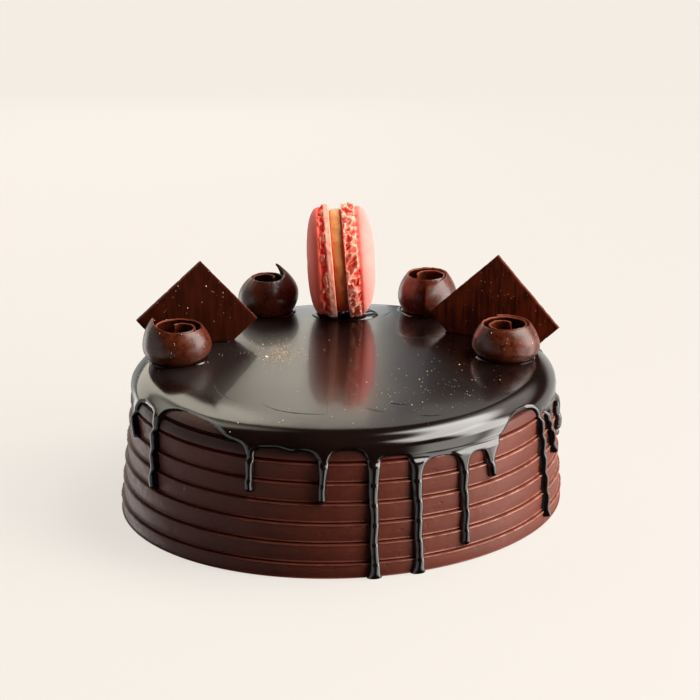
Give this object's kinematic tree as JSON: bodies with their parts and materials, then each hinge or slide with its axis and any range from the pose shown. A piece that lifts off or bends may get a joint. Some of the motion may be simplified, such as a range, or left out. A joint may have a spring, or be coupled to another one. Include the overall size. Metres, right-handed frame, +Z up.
{
  "type": "truffle cake",
  "caption": "Round glazed chocolate truffle cake with a combed side, drips, an upright macaron, square chocolate plaques and rolled curls.",
  "frame": {"origin": "middle of the flat underside", "axes": "+Z up, +X to the right and -Y to the front, as seen from the front"},
  "size_m": [0.1778, 0.1798, 0.1046],
  "materials": {
    "ganache": "satin ganache, dark reddish brown",
    "glaze": "mirror-like dark chocolate glaze",
    "macaron_shell": "smooth coral shell with a ruffled foot",
    "macaron_filling": "soft caramel filling",
    "plaque": "thin dark chocolate, fine grain, gold flecks",
    "curl": "semi-gloss dark chocolate with lighter cut edges"
  },
  "bodies": {
    "root": {"cake_body": "ganache", "glaze": "glaze", "macaron_shell_left": "macaron_shell", "macaron_filling": "macaron_filling", "macaron_shell_right": "macaron_shell", "plaque_left": "plaque", "plaque_right": "plaque", "curl_front_left": "curl", "curl_front_right": "curl", "curl_back_left": "curl", "curl_back_right": "curl"}
  },
  "joints": []
}
